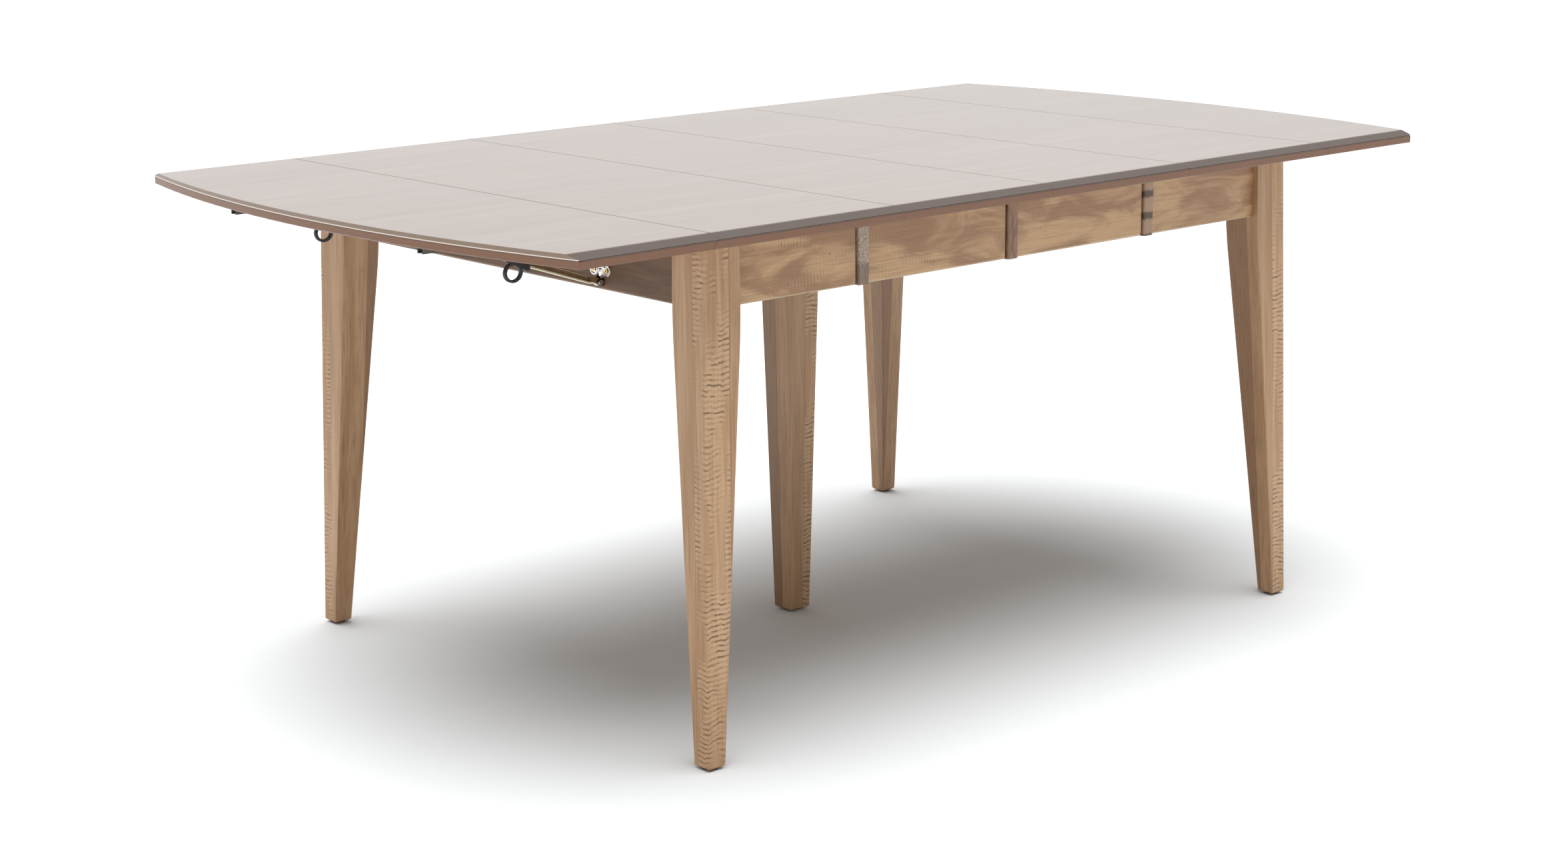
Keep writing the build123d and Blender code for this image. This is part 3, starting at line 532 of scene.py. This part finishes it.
# Which finish a node wears, by the end of its name; the rest of the hardware is zinc-plated steel
wornBy = {
    "topMaple": ("_top", "drop_leaf", "_panel"),
    "endGrain": ("seam_blocks",),
    "legMaple": ("front_leg", "back_leg"),
    "centreLegMaple": ("centre_leg",),
    "endApronMaple": ("end_apron",),
    "sideApronMaple": ("_aprons",),
    "innerMaple": ("slide_bars", "corner_blocks", "centre_block"),
    "blackPlastic": ("slider",),
    "creamStrut": ("strut",),
    "darkTrack": ("support_tracks",),
    "brightNickel": ("support_brackets", "pivot_pins"),
    "brassScrew": ("bracket_screws",),
    "darkNylon": ("glides", "glide"),
}
for name, node in frame["nodes"].items():
    finishes = [finish for finish, ends in wornBy.items() if name.endswith(ends)]
    node.data.materials.clear()
    node.data.materials.append(materials[(finishes + ["zincSteel"])[0]])
print("finishes laid on the nodes")


# Reading the frame: one low and high corner for each solid of a node
def solidBoxes(name):
    mesh = bmesh.new()
    mesh.from_mesh(frame["nodes"][name].data)
    bmesh.ops.remove_doubles(mesh, verts=mesh.verts, dist=1e-6)
    left, boxes = set(mesh.verts), []
    while left:
        reached = [left.pop()]
        low, high = Vector(reached[0].co), Vector(reached[0].co)
        while reached:
            for edge in reached.pop().link_edges:
                for vert in edge.verts:
                    if vert in left:
                        left.remove(vert)
                        reached.append(vert)
                        low = Vector(map(min, low, vert.co))
                        high = Vector(map(max, high, vert.co))
        boxes.append((low, high))
    mesh.free()
    return sorted(boxes, key=lambda box: tuple(box[0]))


def linked(name, data):
    made = bpy.data.objects.new(name, data)
    bpy.context.collection.objects.link(made)
    return made


def show(name, mesh, node, material):
    # a finished piece, seen in place of its CAD node and moving with that node's body
    mesh.materials.clear()
    mesh.materials.append(material)
    made = linked(name, mesh)
    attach(made, body_of(frame["nodes"][node])[0])
    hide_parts(node)


def settled(made):
    # the object's finished mesh with its modifiers worked in
    graph = bpy.context.evaluated_depsgraph_get()
    mesh = bpy.data.meshes.new_from_object(made.evaluated_get(graph), depsgraph=graph)
    bpy.data.objects.remove(made)
    return mesh


# Geometry Nodes: one tree for each kind of repeated fastener, one point for each fastener
class Tree(Nodes):
    def __init__(self, name, sizes):
        super().__init__(bpy.data.node_groups.new(name, "GeometryNodeTree"))
        sockets = self.tree.interface
        sockets.new_socket("Geometry", in_out="INPUT", socket_type="NodeSocketGeometry")
        for size, value in sizes.items():
            kind = "NodeSocketVector" if isinstance(value, tuple) else "NodeSocketFloat"
            sockets.new_socket(size, in_out="INPUT", socket_type=kind).default_value = value
        sockets.new_socket("Material", in_out="INPUT", socket_type="NodeSocketMaterial")
        sockets.new_socket("Geometry", in_out="OUTPUT", socket_type="NodeSocketGeometry")
        self.start = self.node("NodeGroupInput")

    def size(self, name):
        return Signal(self, self.start.outputs[name])

    def close(self, piece, seed):
        # turned the given way, then spun about its own axis by a fixed random angle
        stood = self.node("GeometryNodeInstanceOnPoints", inputs={
            "Points": self.size("Geometry"), "Instance": piece, "Rotation": self.size("Turn")})
        spin = self.node("FunctionNodeRandomValue", {"data_type": "FLOAT"},
                         {"Min": 0.0, "Max": 3.14, "Seed": seed})
        spun = self.node("GeometryNodeRotateInstances", inputs={
            "Instances": stood.outputs[0], "Rotation": self.vector(0.0, 0.0, spin.outputs["Value"])})
        whole = self.node("GeometryNodeRealizeInstances", inputs={"Geometry": spun.outputs[0]})
        painted = self.node("GeometryNodeSetMaterial", inputs={
            "Geometry": whole.outputs[0], "Material": self.size("Material")})
        self.node("NodeGroupOutput", inputs={"Geometry": painted.outputs[0]})
        return self.tree


screwSizes = {"Head Radius": 0.0035, "Head Depth": 0.0017, "Shank Radius": 0.0018, "Shank Length": 0.010,
              "Recess Width": 0.0008, "Recess Depth": 0.0011, "Turn": (0.0, 0.0, 0.0)}
bracketScrewSizes = {**screwSizes, "Head Radius": 0.0041, "Head Depth": 0.0020, "Shank Radius": 0.0020,
                     "Recess Width": 0.0010, "Recess Depth": 0.0013}


def screwTree():
    tree = Tree("crossScrews", screwSizes)
    size = tree.size
    head = tree.node("GeometryNodeMeshCone", inputs={
        "Vertices": 28, "Radius Top": size("Shank Radius"), "Radius Bottom": size("Head Radius"),
        "Depth": size("Head Depth")})
    across, deep = size("Head Radius") * 1.25, size("Recess Depth") * 2.0
    slots = []
    for x, y in ((across, size("Recess Width")), (size("Recess Width"), across)):
        box = tree.node("GeometryNodeMeshCube", inputs={"Size": tree.vector(x, y, deep)})
        slots.append(box.outputs["Mesh"])
    cut = tree.node("GeometryNodeMeshBoolean", {"operation": "DIFFERENCE"},
                    {"Mesh 1": head.outputs["Mesh"], "Mesh 2": slots})
    shank = tree.node("GeometryNodeMeshCylinder", inputs={
        "Vertices": 16, "Radius": size("Shank Radius"), "Depth": size("Shank Length")})
    lift = tree.vector(0.0, 0.0, size("Shank Length") * 0.5 + size("Head Depth"))
    lifted = tree.node("GeometryNodeTransform", inputs={
        "Geometry": shank.outputs["Mesh"], "Translation": lift})
    whole = tree.node("GeometryNodeJoinGeometry", inputs={
        "Geometry": [cut.outputs["Mesh"], lifted.outputs[0]]})
    return tree.close(whole.outputs[0], 7)


# Each ring of a rivet is a share of its radius at the foot and the top, and of its height
rivetSizes = {"Radius": 0.0040, "Height": 0.0015, "Turn": (0.0, 0.0, 0.0)}
rivetRings = ((1.0, 0.9, 0.45), (0.72, 0.62, 0.8), (0.34, 0.22, 1.0))


def rivetTree():
    tree = Tree("ringedRivets", rivetSizes)
    rings = []
    for foot, top, height in rivetRings:
        ring = tree.node("GeometryNodeMeshCone", inputs={
            "Vertices": 32, "Radius Bottom": tree.size("Radius") * foot,
            "Radius Top": tree.size("Radius") * top, "Depth": tree.size("Height") * height})
        rings.append(ring.outputs["Mesh"])
    whole = tree.node("GeometryNodeJoinGeometry", inputs={"Geometry": rings})
    return tree.close(whole.outputs[0], 3)


def fasteners(tree, points, values, material):
    mesh = bpy.data.meshes.new("points")
    mesh.from_pydata(points, [], [])
    made = linked("points", mesh)
    laid = made.modifiers.new("laid", "NODES")
    laid.node_group = tree
    sockets = {item.name: item.identifier for item in tree.interface.items_tree if item.in_out == "INPUT"}
    for name, value in {**values, "Material": material}.items():
        laid[sockets[name]] = value
    return settled(made)


crossScrews, ringedRivets = screwTree(), rivetTree()
zincSteel, brassScrew = materials["zincSteel"], materials["brassScrew"]
brightNickel = materials["brightNickel"]
for name in ("left_top_screws", "right_top_screws", "left_leaf_screws", "right_leaf_screws", "centre_screws"):
    heads = [((low.x + high.x) / 2, (low.y + high.y) / 2, low.z) for low, high in solidBoxes(name)]
    mesh = fasteners(crossScrews, heads, screwSizes, zincSteel)
    show(name.replace("_screws", "CrossScrews"), mesh, name, zincSteel)
print("wood screws laid")

# Leaf supports: soft-edged metal and plastic, nickel cups round the bracket's screws, ringed rivets.
# A profile is its points of radius and height out of the bracket
supportLook = {
    "bracketEdge": 0.0005, "strutEdge": 0.0004, "sliderEdge": 0.0011, "pinEdge": 0.0003,
    "cup": ((0.0032, 0.0), (0.0032, 0.0006), (0.0044, 0.0012), (0.0060, 0.0024), (0.0076, 0.0030),
            (0.0086, 0.0026), (0.0090, 0.0014), (0.0090, 0.0)),
    "dimple": ((0.0026, 0.0), (0.0025, 0.0012), (0.0019, 0.0021), (0.0010, 0.0026), (0.0002, 0.0027)),
    "plate": 0.0016, "screwLift": 0.0032, "bevelAngle": 35, "sharpAngle": 38,
}
outward = {"left": -1, "right": 1}


def shaded(mesh):
    mesh.shade_smooth()
    mesh.set_sharp_from_angle(angle=math.radians(supportLook["sharpAngle"]))
    return mesh


def softened(name, width, segments):
    # a CAD node's own shape with its edges rounded over
    mesh = bmesh.new()
    mesh.from_mesh(frame["nodes"][name].data)
    bmesh.ops.remove_doubles(mesh, verts=mesh.verts, dist=1e-5)
    bmesh.ops.dissolve_limit(mesh, angle_limit=math.radians(1.0), verts=mesh.verts, edges=mesh.edges)
    made = bpy.data.meshes.new(name)
    mesh.to_mesh(made)
    mesh.free()
    holder = linked("soft", made)
    bevel = holder.modifiers.new("bevel", "BEVEL")
    bevel.width, bevel.segments, bevel.limit_method = width, segments, "ANGLE"
    bevel.angle_limit = math.radians(supportLook["bevelAngle"])
    return shaded(settled(holder))


def lathe(mesh, profile, centre, side, steps=40):
    # turns a profile of (radius, height) points about a line along X through centre
    rings = []
    for radius, height in profile:
        turns = (math.tau * step / steps for step in range(steps))
        rings.append([mesh.verts.new((centre[0] + side * height, centre[1] + radius * math.cos(turn),
                                      centre[2] + radius * math.sin(turn))) for turn in turns])
    for inner, outer in zip(rings, rings[1:]):
        for step in range(steps):
            mesh.faces.new((inner[step], inner[step - 1], outer[step - 1], outer[step]))
    mesh.faces.new(rings[0])
    mesh.faces.new(rings[-1])


def bracketMesh(side, face, middles):
    # a cup round each screw, and a dimple between each pair of them
    made = softened(f"{side}_support_brackets", supportLook["bracketEdge"], 2)
    mesh = bmesh.new()
    mesh.from_mesh(made)
    out = outward[side]
    for middle in middles:
        lathe(mesh, supportLook["cup"], (face, middle.y, middle.z), out)
    for first, second in zip(middles[::2], middles[1::2]):
        between = (first + second) / 2
        lathe(mesh, supportLook["dimple"], (face + out * supportLook["plate"], between.y, between.z), out)
    bmesh.ops.recalc_face_normals(mesh, faces=mesh.faces)
    mesh.to_mesh(made)
    mesh.free()
    return shaded(made)


def pinMesh(side):
    # the pivot pins with a ringed rivet sunk level with each end
    name = f"{side}_pivot_pins"
    boxes = solidBoxes(name)
    whole = bmesh.new()
    whole.from_mesh(softened(name, supportLook["pinEdge"], 1))
    for sign in (-1, 1):
        ends = [((low.x + high.x) / 2, (high.y if sign > 0 else low.y) - sign * rivetSizes["Height"],
                 (low.z + high.z) / 2) for low, high in boxes]
        turned = {**rivetSizes, "Turn": (-sign * math.pi / 2, 0.0, 0.0)}
        whole.from_mesh(fasteners(ringedRivets, ends, turned, brightNickel))
    made = bpy.data.meshes.new("pins")
    whole.to_mesh(made)
    whole.free()
    return made


for side, out in outward.items():
    brackets, screws = f"{side}_support_brackets", f"{side}_bracket_screws"
    face = out * min(abs(x) for low, high in solidBoxes(brackets) for x in (low.x, high.x))
    middles = [(low + high) / 2 for low, high in sorted(solidBoxes(screws), key=lambda box: box[0].y)]
    show(f"{side}NickelBrackets", bracketMesh(side, face, middles), brackets,
         materials["bracketNickel"])
    heads = [(face + out * supportLook["screwLift"], middle.y, middle.z) for middle in middles]
    turned = {**bracketScrewSizes, "Turn": (0.0, -out * math.pi / 2, 0.0)}
    show(f"{side}BracketScrews", fasteners(crossScrews, heads, turned, brassScrew), screws,
         brassScrew)
    show(f"{side}PivotRivets", pinMesh(side), f"{side}_pivot_pins", brightNickel)
    for place in ("front", "back"):
        strut, slider = f"{side}_{place}_strut", f"{side}_{place}_slider"
        show(f"{side}{place.title()}Strut", softened(strut, supportLook["strutEdge"], 2), strut,
             materials["creamStrut"])
        show(f"{side}{place.title()}Slider", softened(slider, supportLook["sliderEdge"], 3), slider,
             materials["blackPlastic"])
print("leaf supports made")

# Floor, light and camera; angles in degrees for the sun, in radians for the camera
studio = {
    "floor": (0.67, 0.69, 0.70), "floorSize": 120.0, "floorRoughness": 0.9,
    "backdrop": 1.35, "sky": 0.55, "behind": 0.50, "behindWay": (0.50, 0.85, 0.15), "behindFrom": 0.55,
    "behindFull": 0.98, "sun": 5.3, "sunAngle": 66.0, "sunTurn": (-3.0, -2.0),
}
cameraLook = {"lens": 63.47, "sensor": 36.0, "place": (-2.96767, -3.26331, 1.35008), "yaw": 0.72846,
              "pitch": -0.23322, "roll": -0.00771}


def paleFloor():
    half = studio["floorSize"] / 2
    mesh = bpy.data.meshes.new("studioFloor")
    corners = [(-half, -half, 0), (half, -half, 0), (half, half, 0), (-half, half, 0)]
    mesh.from_pydata(corners, [], [(0, 1, 2, 3)])
    pale = Finish("paleFloor", {"Roughness": studio["floorRoughness"], "Base Color": (*studio["floor"], 1),
                                "Specular IOR Level": 0.0})
    mesh.materials.append(pale.material)
    linked("studioFloor", mesh)


def softSky():
    # an even backdrop for the camera, and a dim sky that is brighter behind the table for the light
    world = bpy.data.worlds.new("softSky")
    world.use_nodes = True
    world.node_tree.nodes.clear()
    sky = Nodes(world.node_tree)
    way = sky.node("ShaderNodeTexCoord").outputs["Generated"]
    toward = sky.node("ShaderNodeVectorMath", {"operation": "DOT_PRODUCT"},
                      {0: way, 1: Vector(studio["behindWay"]).normalized()})
    strength = sky.node("ShaderNodeMapRange", {"interpolation_type": "SMOOTHSTEP"}, {
        "Value": toward.outputs["Value"], "From Min": studio["behindFrom"], "From Max": studio["behindFull"],
        "To Min": studio["sky"], "To Max": studio["sky"] + studio["behind"]})
    light = sky.node("ShaderNodeBackground", inputs={"Strength": strength.outputs["Result"]})
    seen = sky.node("ShaderNodeBackground", inputs={"Strength": studio["backdrop"]})
    ray = sky.node("ShaderNodeLightPath").outputs["Is Camera Ray"]
    mixed = sky.node("ShaderNodeMixShader", inputs={0: ray, 1: light.outputs[0], 2: seen.outputs[0]})
    sky.node("ShaderNodeOutputWorld", inputs={"Surface": mixed.outputs[0]})
    bpy.context.scene.world = world


def softSun():
    data = bpy.data.lights.new("overheadSoft", "SUN")
    data.energy = studio["sun"]
    data.angle = math.radians(studio["sunAngle"])
    lamp = linked("overheadSoft", data)
    lamp.rotation_euler = (*map(math.radians, studio["sunTurn"]), 0)


def placeCamera():
    yaw, pitch, roll = (cameraLook[key] for key in ("yaw", "pitch", "roll"))
    forward = Vector((math.sin(yaw) * math.cos(pitch), math.cos(yaw) * math.cos(pitch), math.sin(pitch)))
    level = Vector((math.cos(yaw), -math.sin(yaw), 0))
    above = level.cross(forward)
    right = level * math.cos(roll) + above * math.sin(roll)
    up = above * math.cos(roll) - level * math.sin(roll)
    data = bpy.data.cameras.new("tableCamera")
    data.lens, data.sensor_width = cameraLook["lens"], cameraLook["sensor"]
    camera = linked("tableCamera", data)
    camera.matrix_world = Matrix((right, up, -forward)).transposed().to_4x4()
    camera.location = cameraLook["place"]
    bpy.context.scene.camera = camera


paleFloor()
softSky()
softSun()
placeCamera()
bpy.context.scene.view_settings.view_transform = "Standard"
print("studio set")
